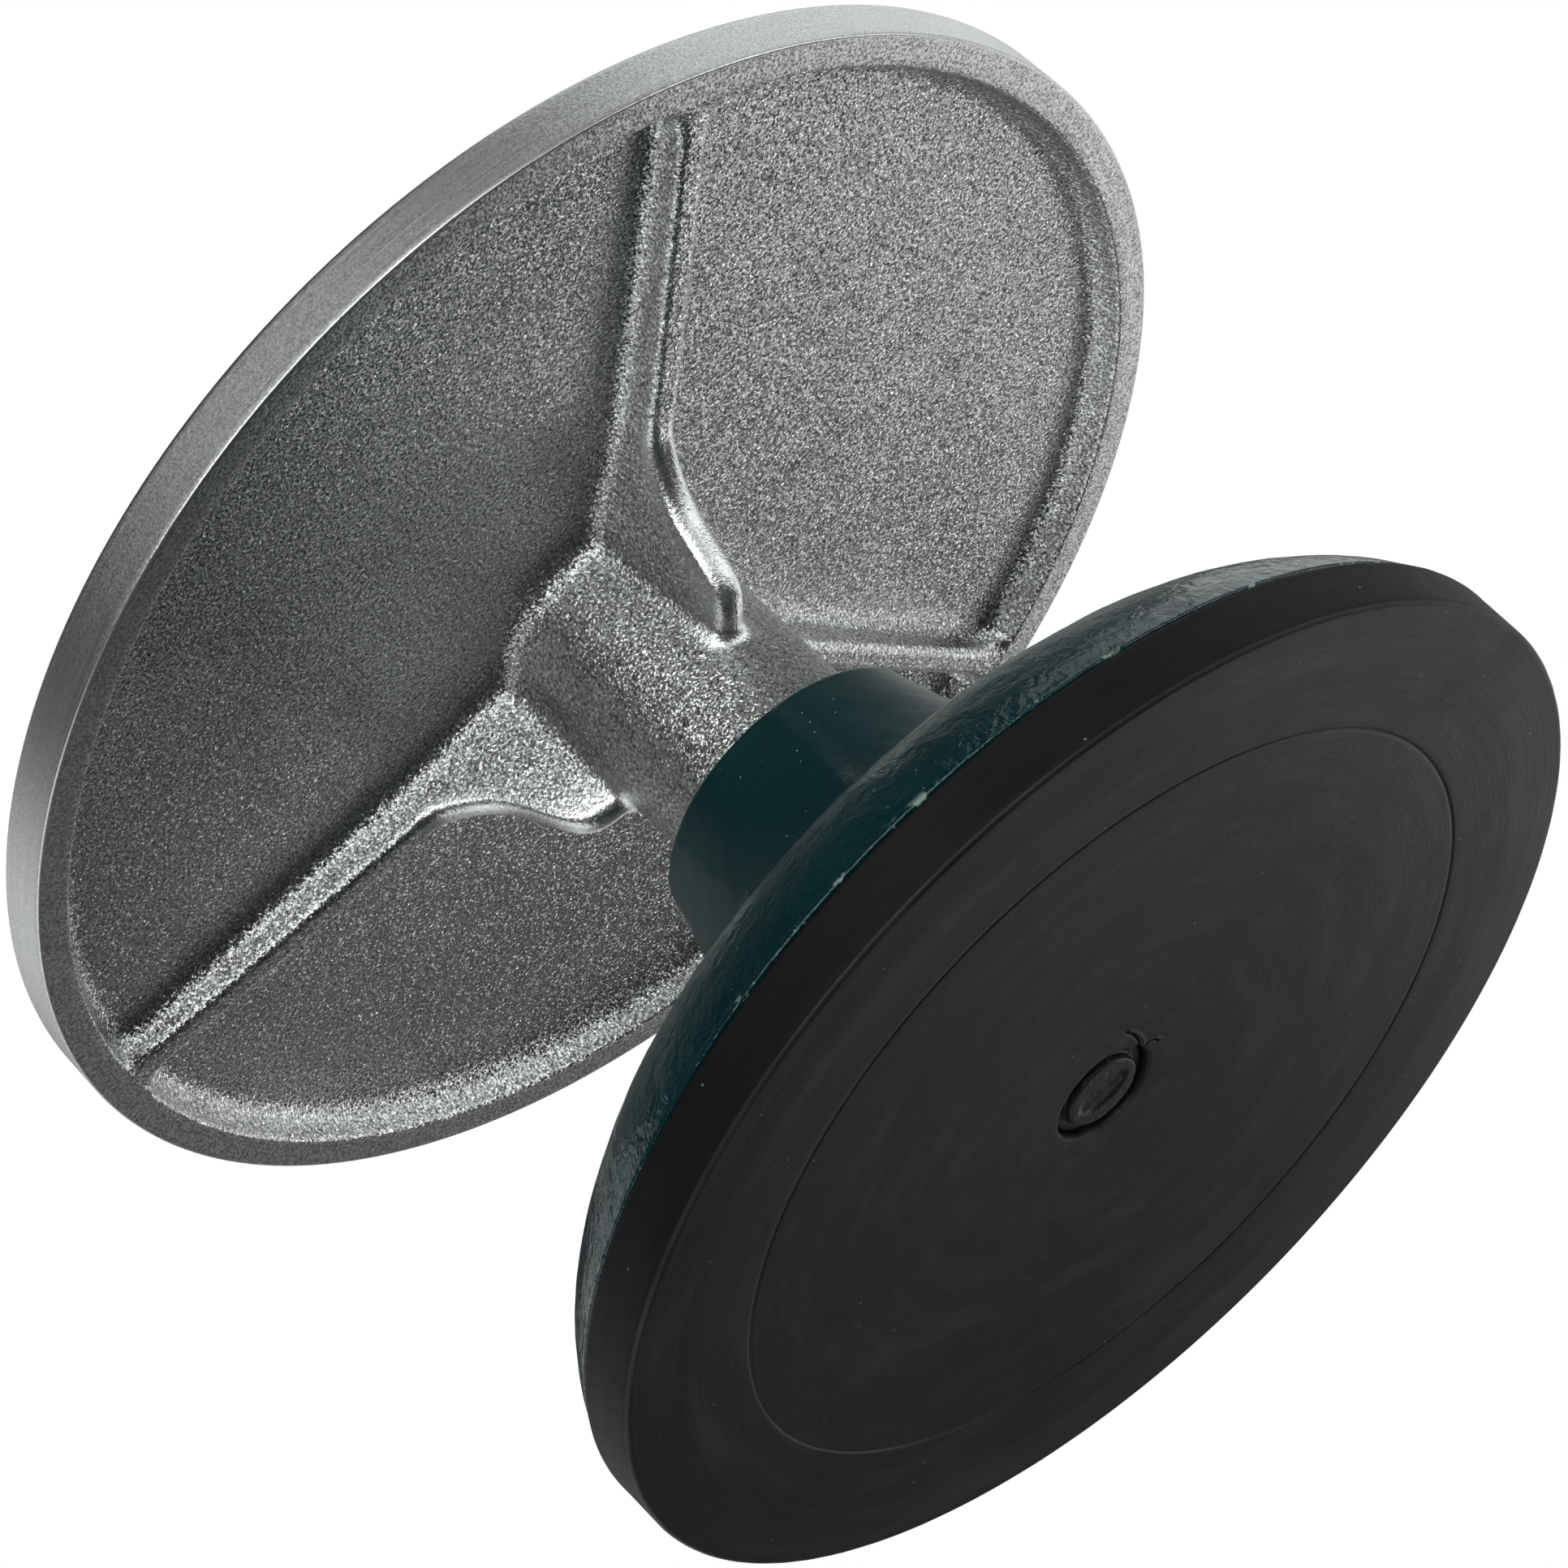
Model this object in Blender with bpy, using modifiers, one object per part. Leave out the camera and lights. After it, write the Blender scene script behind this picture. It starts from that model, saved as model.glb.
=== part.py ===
"""Banding wheel: a hand-turned cast-aluminium wheel head on a cast-iron base.

A decorator's or sculptor's revolving stand.  The head's spindle runs in two
deep-groove ball bearings inside the neck of a hollow, bell-shaped iron base,
which stands on a rubber pad held by a push-in stud.

Metres, +Z up, origin at the centre of the pad's underside.
"""
import math

import bmesh
import bpy
from mathutils import Matrix, Vector

for _o in list(bpy.data.objects):
    bpy.data.objects.remove(_o, do_unlink=True)

MM = 0.001

# ---------------------------------------------------------------- dimensions
HEAD_R = 101.6            # 8 in wheel head
Z_TOP = 117.2             # working face
Z_LAND = 109.0            # machined underside of the rim
Z_FLOOR = 114.0           # recessed underside of the plate
LAND_IN_R = 96.6          # inner edge of the rim land
FLOOR_R = 92.8            # foot of the wall's fillet
EDGE_BREAK = 0.6

HUB_R = 17.1
HUB_END_Z = 70.2
HUB_BORE_R = 7.8
HUB_BORE_TOP_Z = 105.0
HUB_FILLET = 3.0

RIB_COUNT = 3
RIB_AZ = -53.2            # first rib's direction, degrees
RIB_W = 5.0
RIB_RIM_Z = 109.25
RIB_HUB_Z = 107.0
RIB_TOE_R = 40.0          # where the rib starts to rise into its gusset
GUSSET_Z = 86.8           # where the gusset meets the hub

PAD_R = 83.6
PAD_TOP_Z = 8.9
PAD_LAND_R = 74.0         # flat ring that the pad stands on
PAD_CREASE_R = 63.0
PAD_CREASE_Z = 0.5
PAD_DISH_Z = 2.4
PAD_HOLE_R = 8.2

BASE_Z = 9.2
NECK_TOP_Z = 69.4
NECK_R = 23.2
BORE_R = 17.8
BEARING_SEAT_Z = 33.0
CHAMBER_R = 13.0
CHAMBER_Z = 26.0
STUD_HOLE_R = 7.7
BOSS_R = 20.5

STUD_R = 7.3
STUD_HEAD_R = 7.8
STUD_HEAD_TOP_Z = 8.7
STUD_PLUG_R = 6.0
STUD_FACE_Z = 3.65        # the ring round the plug sits up inside the pad's hole
STUD_PLUG_Z = 2.45        # the plug's face is nearly flush with the pad
STUD_NOSE_Z = 22.0

SPINDLE_R = 7.5
SPINDLE_BOTTOM_Z = 28.2
SPINDLE_TOP_Z = 104.6

# deep-groove ball bearing, 15 x 35 x 11 mm
BRG_W = 11.0
BRG_OUTER_R = 17.5
BRG_BORE_R = 7.8
BRG_PITCH_R = 12.5
BALL_R = 2.976
BALL_COUNT = 8
GAP = 0.3
UPPER_BRG_Z = 61.3        # mid-planes
LOWER_BRG_Z = 38.8

SEG_BIG = 64
SEG_RING = 28

# ---------------------------------------------------------------- scaffolding
parts = bpy.data.collections.new("banding_wheel")
cutters = bpy.data.collections.new("cutters")
bpy.context.scene.collection.children.link(parts)
bpy.context.scene.collection.children.link(cutters)


def material(name, colour, rough, metal, coat=0.0):
    m = bpy.data.materials.new(name)
    m.use_nodes = True
    p = m.node_tree.nodes["Principled BSDF"]
    p.inputs["Base Color"].default_value = (*colour, 1.0)
    p.inputs["Roughness"].default_value = rough
    p.inputs["Metallic"].default_value = metal
    p.inputs["Coat Weight"].default_value = coat
    m.diffuse_color = (*colour, 1.0)
    return m


M_ALU = material("cast_aluminium", (0.46, 0.47, 0.47), 0.38, 1.0)
M_ENAMEL = material("green_enamel", (0.004, 0.045, 0.052), 0.22, 0.0, 0.6)
M_RUBBER = material("black_rubber", (0.018, 0.018, 0.018), 0.62, 0.0)
M_STUD = material("moulded_rubber", (0.022, 0.022, 0.022), 0.55, 0.0)
M_STEEL = material("ground_steel", (0.56, 0.57, 0.58), 0.25, 1.0)
M_BEARING = material("bearing_steel", (0.62, 0.62, 0.63), 0.18, 1.0)
M_SPRING = material("spring_steel", (0.16, 0.16, 0.17), 0.38, 1.0)
M_CAGE = material("cage_polyamide", (0.62, 0.52, 0.30), 0.5, 0.0)


def place(ob, mat, hidden=False):
    if hidden:
        cutters.objects.link(ob)
        ob.hide_render = True
        ob.display_type = "WIRE"
    else:
        parts.objects.link(ob)
        ob.data.materials.append(mat)
    return ob


def turned(name, profile, segs, mat, hidden=False):
    """A turned piece: (radius, height) in mm, running down the outer side.

    The profile either starts and ends on the axis or is a closed loop.
    """
    me = bpy.data.meshes.new(name)
    bm = bmesh.new()
    vs = [bm.verts.new((r * MM, 0.0, z * MM)) for r, z in profile]
    for a, b in zip(vs, vs[1:]):
        bm.edges.new((a, b))
    if profile[0][0] > 0.0:
        bm.edges.new((vs[-1], vs[0]))
    bm.to_mesh(me)
    bm.free()
    ob = bpy.data.objects.new(name, me)
    place(ob, mat, hidden)
    s = ob.modifiers.new("turn", "SCREW")
    s.axis = "Z"
    s.angle = 2.0 * math.pi
    s.steps = segs
    s.render_steps = segs
    s.use_merge_vertices = True
    s.merge_threshold = 0.00005
    s.use_smooth_shade = True
    return ob


def arc(cx, cz, r, a0, a1, n):
    """Points on a circular arc, angles in degrees from +r towards +z."""
    out = []
    for i in range(n + 1):
        a = math.radians(a0 + (a1 - a0) * i / n)
        out.append((cx + r * math.cos(a), cz + r * math.sin(a)))
    return out


def bezier(p0, p1, p2, p3, n, first=True):
    out = []
    for i in range(0 if first else 1, n + 1):
        t = i / n
        u = 1.0 - t
        w = (u ** 3, 3 * u * u * t, 3 * u * t * t, t ** 3)
        out.append(tuple(sum(wk * p[k] for wk, p in zip(w, (p0, p1, p2, p3)))
                         for k in range(2)))
    return out


def boolean(ob, cutter, op):
    b = ob.modifiers.new(op.lower() + "_" + cutter.name, "BOOLEAN")
    b.operation = op
    b.solver = "EXACT"
    b.object = cutter
    return b


# ---------------------------------------------------------------- wheel head
head_profile = [(0.0, Z_TOP), (HEAD_R - EDGE_BREAK, Z_TOP),
                (HEAD_R, Z_TOP - EDGE_BREAK), (HEAD_R, Z_LAND + 0.3),
                (HEAD_R - 0.3, Z_LAND), (LAND_IN_R, Z_LAND)]
# wall of the recess with its casting fillet
head_profile += bezier((LAND_IN_R - 0.5, Z_LAND + 0.9),
                       (LAND_IN_R - 0.9, Z_LAND + 3.6),
                       (FLOOR_R + 1.6, Z_FLOOR), (FLOOR_R, Z_FLOOR), 4)
# plate underside, then the hub's root fillet and side
head_profile += arc(HUB_R + HUB_FILLET, Z_FLOOR - HUB_FILLET, HUB_FILLET, 90, 180, 3)
head_profile += [(HUB_R, HUB_END_Z + 0.6), (HUB_R - 0.6, HUB_END_Z),
                 (HUB_BORE_R, HUB_END_Z), (HUB_BORE_R, HUB_BORE_TOP_Z),
                 (0.0, HUB_BORE_TOP_Z + 1.2)]
wheel_head = turned("wheel_head", head_profile, SEG_BIG, M_ALU)


def rib_blank(name, azimuth):
    """One rib and its S-shaped gusset: a flat outline, extruded both ways."""
    top = [(95.0, 115.6), (95.0, RIB_RIM_Z)]
    top += bezier((RIB_TOE_R, RIB_HUB_Z), (31.5, 105.4), (29.0, GUSSET_Z + 0.4),
                  (HUB_R - 1.0, GUSSET_Z), 9)
    top += [(12.0, GUSSET_Z), (12.0, 115.6)]
    me = bpy.data.meshes.new(name)
    bm = bmesh.new()
    vs = [bm.verts.new((r * MM, -RIB_W / 2 * MM, z * MM)) for r, z in top]
    face = bm.faces.new(vs)
    grown = bmesh.ops.extrude_face_region(bm, geom=[face])
    moved = [g for g in grown["geom"] if isinstance(g, bmesh.types.BMVert)]
    bmesh.ops.translate(bm, verts=moved, vec=(0.0, RIB_W * MM, 0.0))
    bmesh.ops.recalc_face_normals(bm, faces=bm.faces)
    bm.transform(Matrix.Rotation(math.radians(azimuth), 4, "Z"))
    bm.to_mesh(me)
    bm.free()
    return place(bpy.data.objects.new(name, me), None, hidden=True)


for k in range(RIB_COUNT):
    boolean(wheel_head, rib_blank("rib_blank_%d" % (k + 1), RIB_AZ + 120.0 * k), "UNION")

# ---------------------------------------------------------------- iron base
# The shoulder of the bell is a flattened quarter curve that leaves the foot
# nearly upright and leans in to about 24 degrees.
SHOULDER_R, SHOULDER_Z, SHOULDER_A, SHOULDER_B, SHOULDER_P = 84.0, 6.1, 24.1, 22.8, 1.62


def shoulder(t):
    e = 2.0 / SHOULDER_P
    return (SHOULDER_R - SHOULDER_A + SHOULDER_A * math.cos(t) ** e,
            SHOULDER_Z + SHOULDER_B * math.sin(t) ** e)


t_lo = math.asin(((BASE_Z + 0.5 - SHOULDER_Z) / SHOULDER_B) ** (SHOULDER_P / 2.0))
T_HI = math.radians(55.0)
bell = [shoulder(T_HI + (t_lo - T_HI) * i / 6) for i in range(7)]
lean = Vector((bell[0][0] - bell[1][0], bell[0][1] - bell[1][1])).normalized()
p_sh = bell[0]
mid = (55.0, p_sh[1] + 4.9)
crown = bezier(mid, (mid[0] + 6.0, mid[1] - 1.5),
               (p_sh[0] + 5.5 * lean.x, p_sh[1] + 5.5 * lean.y), p_sh, 2)
flare = bezier((NECK_R + 0.1, NECK_TOP_Z - 1.2), (28.6, 43.0),
               (40.0, mid[1] + 3.9), mid, 7)
base_profile = [(NECK_R - 1.0, NECK_TOP_Z)] + flare + crown[1:-1] + bell
base_profile += [(bell[-1][0] - 0.4, BASE_Z), (76.0, BASE_Z)]
# hollow underside, with a boss round the stud's hole
base_profile += [(74.6, 12.5), (66.0, 18.0), (50.0, 24.4), (38.0, 27.0), (28.0, 26.0),
                 (BOSS_R + 1.2, 19.0), (BOSS_R, BASE_Z), (STUD_HOLE_R, BASE_Z),
                 (STUD_HOLE_R, CHAMBER_Z),
                 (CHAMBER_R, CHAMBER_Z), (CHAMBER_R, BEARING_SEAT_Z),
                 (BORE_R, BEARING_SEAT_Z)]
# seat for the bearings, the circlip's groove and the mouth of the bore
base_profile += [(BORE_R, 66.85), (19.2, 66.85), (19.2, 68.75), (BORE_R, 68.75),
                 (BORE_R, NECK_TOP_Z)]
base_casting = turned("base_casting", base_profile, SEG_BIG, M_ENAMEL)

# ---------------------------------------------------------------- rubber pad
pad_profile = [(PAD_R + 0.2, PAD_TOP_Z), (PAD_R, 0.6), (PAD_R - 0.5, 0.0),
               (PAD_LAND_R, 0.0), (PAD_CREASE_R, PAD_CREASE_Z),
               (PAD_HOLE_R, PAD_DISH_Z), (PAD_HOLE_R, PAD_TOP_Z)]
foot_pad = turned("foot_pad", pad_profile, SEG_BIG, M_RUBBER)

stud_profile = [(0.0, STUD_NOSE_Z), (STUD_R - 2.6, STUD_NOSE_Z),
                (STUD_R, STUD_NOSE_Z - 3.4), (STUD_R, STUD_HEAD_TOP_Z),
                (STUD_HEAD_R, STUD_HEAD_TOP_Z), (STUD_HEAD_R, STUD_FACE_Z + 0.5),
                (STUD_HEAD_R - 0.5, STUD_FACE_Z), (STUD_PLUG_R + 0.3, STUD_FACE_Z),
                (STUD_PLUG_R, STUD_PLUG_Z + 0.4), (STUD_PLUG_R - 0.4, STUD_PLUG_Z),
                (0.0, STUD_PLUG_Z)]
pad_stud = turned("pad_stud", stud_profile, SEG_RING, M_STUD)

# ---------------------------------------------------------------- spindle
GROOVE_LO, GROOVE_HI, GROOVE_R = 30.3, 31.9, 6.8
spindle_profile = [(0.0, SPINDLE_TOP_Z), (SPINDLE_R - 0.8, SPINDLE_TOP_Z),
                   (SPINDLE_R, SPINDLE_TOP_Z - 0.8), (SPINDLE_R, GROOVE_HI),
                   (GROOVE_R, GROOVE_HI), (GROOVE_R, GROOVE_LO),
                   (SPINDLE_R, GROOVE_LO), (SPINDLE_R, SPINDLE_BOTTOM_Z + 0.8),
                   (SPINDLE_R - 0.8, SPINDLE_BOTTOM_Z), (0.0, SPINDLE_BOTTOM_Z)]
spindle = turned("spindle", spindle_profile, SEG_RING, M_STEEL)


def washer(name, r_in, r_out, z_lo, z_hi, mat, segs=SEG_RING):
    """A plain ring of rectangular section."""
    return turned(name, [(r_out, z_hi), (r_out, z_lo), (r_in, z_lo), (r_in, z_hi)],
                  segs, mat)


thrust_collar = washer("thrust_collar", 7.8, 10.6, 67.1, 69.9, M_STEEL)
shim_washer = washer("shim_washer", 7.8, 10.6, 32.2, 33.0, M_STEEL)
outer_sleeve = washer("outer_spacer_sleeve", 15.0, 17.5, 44.6, 55.5, M_STEEL)
inner_sleeve = washer("inner_spacer_sleeve", 7.8, 10.2, 44.6, 55.5, M_STEEL)


def circlip(name, r_in, r_out, z_lo, z_hi, gap_deg, azimuth):
    """A sprung ring, opened by a wedge-shaped gap."""
    ring = washer(name, r_in, r_out, z_lo, z_hi, M_SPRING)
    me = bpy.data.meshes.new(name + "_gap")
    bm = bmesh.new()
    bmesh.ops.create_cube(bm, size=1.0)
    width = 2.0 * r_out * math.sin(math.radians(gap_deg / 2.0))
    bm.transform(Matrix.Rotation(math.radians(azimuth), 4, "Z")
                 @ Matrix.Translation(((r_in + r_out) / 2 * MM, 0, (z_lo + z_hi) / 2 * MM))
                 @ Matrix.Diagonal(((r_out - r_in + 4) * MM, width * MM,
                                    (z_hi - z_lo + 2) * MM, 1)))
    bm.to_mesh(me)
    bm.free()
    boolean(ring, place(bpy.data.objects.new(name + "_gap", me), None, hidden=True),
            "DIFFERENCE")
    return ring


bore_circlip = circlip("bore_circlip", 15.4, 18.8, 67.2, 68.4, 40.0, 97.0)
spindle_circlip = circlip("spindle_circlip", 7.15, 10.0, 30.6, 31.6, 50.0, 33.0)


# ---------------------------------------------------------------- bearings
def bearing(prefix, zc):
    """Rings, cage, balls and shields of one 15 x 35 x 11 mm bearing."""
    h = BRG_W / 2.0
    groove = BALL_R + GAP
    half = math.degrees(math.acos((14.4 - BRG_PITCH_R) / groove))
    race = arc(BRG_PITCH_R, zc, groove, -half, half, 4)
    turned(prefix + "_outer_ring",
           [(BRG_OUTER_R, zc + h), (BRG_OUTER_R, zc - h), (14.4, zc - h)] + race
           + [(14.4, zc + h)], SEG_RING, M_BEARING)
    half = math.degrees(math.acos((BRG_PITCH_R - 10.6) / groove))
    race = arc(BRG_PITCH_R, zc, groove, 180 - half, 180 + half, 4)
    turned(prefix + "_inner_ring",
           [(10.6, zc + h)] + race + [(10.6, zc - h), (BRG_BORE_R, zc - h),
                                      (BRG_BORE_R, zc + h)], SEG_RING, M_BEARING)
    for side, z0 in (("top", zc + 4.7), ("bottom", zc - 5.3)):
        washer("%s_shield_%s" % (prefix, side), 10.9, 14.1, z0, z0 + 0.6, M_BEARING)
    cage = turned(prefix + "_cage",
                  [(13.6, zc + 1.8), (13.6, zc - 4.4), (11.4, zc - 4.4), (11.4, zc + 1.8)],
                  SEG_RING, M_CAGE)
    pockets = bpy.data.meshes.new(prefix + "_pockets")
    bm = bmesh.new()
    ball_mesh = bpy.data.meshes.new(prefix + "_ball")
    bb = bmesh.new()
    bmesh.ops.create_uvsphere(bb, u_segments=10, v_segments=6, radius=BALL_R * MM)
    bb.to_mesh(ball_mesh)
    bb.free()
    ball_mesh.materials.append(M_BEARING)
    ball_mesh.shade_smooth()
    for k in range(BALL_COUNT):
        a = 2.0 * math.pi * (k + 0.5) / BALL_COUNT
        at = Vector((BRG_PITCH_R * MM * math.cos(a), BRG_PITCH_R * MM * math.sin(a), zc * MM))
        spin = Matrix.Translation(at) @ Matrix.Rotation(a, 4, "Z")
        bmesh.ops.create_uvsphere(bm, u_segments=12, v_segments=8,
                                  radius=(BALL_R + GAP) * MM, matrix=spin)
        ball = bpy.data.objects.new("%s_ball_%d" % (prefix, k + 1), ball_mesh)
        ball.matrix_world = spin
        parts.objects.link(ball)
    bm.to_mesh(pockets)
    bm.free()
    boolean(cage, place(bpy.data.objects.new(prefix + "_pockets", pockets), None,
                        hidden=True), "DIFFERENCE")


bearing("upper_bearing", UPPER_BRG_Z)
bearing("lower_bearing", LOWER_BRG_Z)

# ---------------------------------------------------------------- moving groups
# Each turning group hangs from an empty on the spindle's axis.
def group(name, z, names):
    empty = bpy.data.objects.new(name, None)
    empty.location = (0.0, 0.0, z * MM)
    parts.objects.link(empty)
    bpy.context.view_layer.update()
    for n in names:
        ob = bpy.data.objects[n]
        ob.parent = empty
        ob.matrix_parent_inverse = Matrix.Translation((0.0, 0.0, -z * MM))
    return empty


group("head_axis", UPPER_BRG_Z,
      ["wheel_head", "spindle", "thrust_collar", "shim_washer", "inner_spacer_sleeve",
       "spindle_circlip", "upper_bearing_inner_ring", "lower_bearing_inner_ring"])
for _p, _z in (("upper_bearing", UPPER_BRG_Z), ("lower_bearing", LOWER_BRG_Z)):
    group(_p + "_cage_axis", _z,
          [_p + "_cage"] + ["%s_ball_%d" % (_p, k + 1) for k in range(BALL_COUNT)])
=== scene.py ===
import math

import bpy
import numpy as np
from mathutils import Matrix, Vector


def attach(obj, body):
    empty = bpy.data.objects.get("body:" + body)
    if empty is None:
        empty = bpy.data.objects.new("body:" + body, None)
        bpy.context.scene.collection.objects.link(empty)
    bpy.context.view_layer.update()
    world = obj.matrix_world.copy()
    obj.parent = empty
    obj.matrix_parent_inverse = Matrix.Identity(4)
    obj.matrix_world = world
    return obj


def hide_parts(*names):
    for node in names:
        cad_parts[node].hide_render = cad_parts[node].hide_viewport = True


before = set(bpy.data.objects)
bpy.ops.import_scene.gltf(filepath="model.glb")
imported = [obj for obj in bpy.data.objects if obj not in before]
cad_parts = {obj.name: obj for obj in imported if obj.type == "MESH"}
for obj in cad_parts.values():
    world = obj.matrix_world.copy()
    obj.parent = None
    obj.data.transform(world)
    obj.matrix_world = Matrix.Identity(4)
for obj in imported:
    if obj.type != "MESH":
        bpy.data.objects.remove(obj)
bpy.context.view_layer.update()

scene = bpy.context.scene
scene.view_settings.view_transform = "Standard"
scene.view_settings.look = "None"

MM = 0.001
RIB_AZ = -53.2


# ------------------------------------------------------------------ helpers
def vnoise(p, cell, seed):
    """Smooth value noise in -1..1 at points p (n,3), cell size in the same unit."""
    q = np.asarray(p, float) / cell
    i = np.floor(q).astype(np.int64)
    f = q - i
    f = f * f * f * (f * (f * 6 - 15) + 10)
    out = np.zeros(len(q))
    for dx in (0, 1):
        for dy in (0, 1):
            for dz in (0, 1):
                a = (i[:, 0] + dx) * 73856093 ^ (i[:, 1] + dy) * 19349663 \
                    ^ (i[:, 2] + dz) * 83492791 ^ (seed * 2654435761 & 0x7FFFFFFF)
                a = (a ^ (a >> 13)) * 1274126177 & 0xFFFFFFFF
                a = (a ^ (a >> 16)) & 0xFFFF
                v = a / 32767.5 - 1.0
                w = (f[:, 0] if dx else 1 - f[:, 0]) * (f[:, 1] if dy else 1 - f[:, 1]) \
                    * (f[:, 2] if dz else 1 - f[:, 2])
                out += v * w
    return out


def fbm(p, cell, seed, octaves=3, gain=0.5):
    s, a, t = np.zeros(len(p)), 1.0, 0.0
    for k in range(octaves):
        s += a * vnoise(p, cell / 2 ** k, seed + 17 * k)
        t += a
        a *= gain
    return s / t


def bezier(p0, p1, p2, p3, n):
    t = np.linspace(0, 1, n + 1)[:, None]
    p = [np.array(q, float) for q in (p0, p1, p2, p3)]
    return (1 - t) ** 3 * p[0] + 3 * (1 - t) ** 2 * t * p[1] + 3 * (1 - t) * t * t * p[2] + t ** 3 * p[3]


def arc(cx, cz, r, a0, a1, n):
    a = np.radians(np.linspace(a0, a1, n + 1))
    return np.c_[cx + r * np.cos(a), cz + r * np.sin(a)]


def line(p, q, n):
    t = np.linspace(0, 1, n + 1)[:, None]
    return (1 - t) * np.array(p, float) + t * np.array(q, float)


def join(*runs):
    """Runs of (r, z) points put end to end, repeated points left out."""
    out = []
    for run in runs:
        for p in np.atleast_2d(run):
            if not out or np.hypot(*(p - out[-1])) > 1e-4:
                out.append(np.array(p, float))
    return np.array(out)


def make_object(name, verts_mm, faces, mats, index=None, sharp=38):
    me = bpy.data.meshes.new(name)
    me.from_pydata((np.asarray(verts_mm) * MM).tolist(), [], faces)
    for m in mats:
        me.materials.append(m)
    if index is not None:
        me.polygons.foreach_set("material_index", np.asarray(index, dtype=np.int32))
    me.update()
    me.shade_smooth()
    me.set_sharp_from_angle(angle=math.radians(sharp))
    ob = bpy.data.objects.new(name, me)
    scene.collection.objects.link(ob)
    return ob


def grid_faces(rows, cols, flip=False):
    """Quads of a rows x cols grid that closes round its columns."""
    i = np.arange(rows - 1)[:, None] * cols
    j = np.arange(cols)[None, :]
    k = (j + 1) % cols
    a, b, c, d = i + j, i + k, i + cols + k, i + cols + j
    q = np.stack([a, b, c, d], -1).reshape(-1, 4)
    return q[:, ::-1] if flip else q


def spin(name, profile, cols, mats, index=None, sharp=38, closed=False, warp=None,
         flip=False, angles=None):
    """A turned mesh with room for displacement: profile (r, z) in mm."""
    prof = np.asarray(profile, float)
    th = np.arange(cols) * 2 * np.pi / cols if angles is None else angles
    R = np.repeat(prof[:, 0][:, None], cols, 1)
    Z = np.repeat(prof[:, 1][:, None], cols, 1)
    T = np.repeat(th[None, :], len(prof), 0)
    return skin(name, R, Z, T, mats, index, sharp, closed, warp, flip)


def skin(name, R, Z, T, mats, index=None, sharp=38, closed=False, warp=None, flip=False):
    rows, cols = R.shape
    P = np.stack([R * np.cos(T), R * np.sin(T), Z], -1).reshape(-1, 3)
    if warp is not None:
        # offset along the surface normal, in mm
        G = P.reshape(rows, cols, 3)
        du = np.gradient(G, axis=0)
        dv = np.roll(G, -1, 1) - np.roll(G, 1, 1)
        n = np.cross(dv, du)
        n /= np.maximum(np.linalg.norm(n, axis=-1, keepdims=True), 1e-9)
        if flip:
            n = -n
        P = P + n.reshape(-1, 3) * warp(P, R.ravel(), Z.ravel(), T.ravel())[:, None]
    quads = grid_faces(rows, cols, flip)
    idx = None if index is None else np.repeat(np.asarray(index)[:rows - 1], cols)
    faces = quads.tolist()
    idx = [] if idx is None else idx.tolist()
    verts = P
    if closed:
        last = (rows - 1) * cols
        for j in range(cols):
            k = (j + 1) % cols
            f = [last + j, last + k, k, j]
            faces.append(f[::-1] if flip else f)
            idx.append(0 if index is None else index[rows - 2])
    else:
        for row, up in ((0, False), (rows - 1, True)):
            if R[row].max() > 1e-6:
                base = len(verts)
                verts = np.vstack([verts, [[0, 0, Z[row].mean()]]])
                for j in range(cols):
                    k = (j + 1) % cols
                    f = [row * cols + k, row * cols + j, base]
                    if up:
                        f = f[::-1]
                    faces.append(f[::-1] if flip else f)
                    idx.append(0 if index is None else index[rows - 2] if up else index[0])
    return make_object(name, verts, faces, mats, idx if index is not None else None, sharp)


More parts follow.
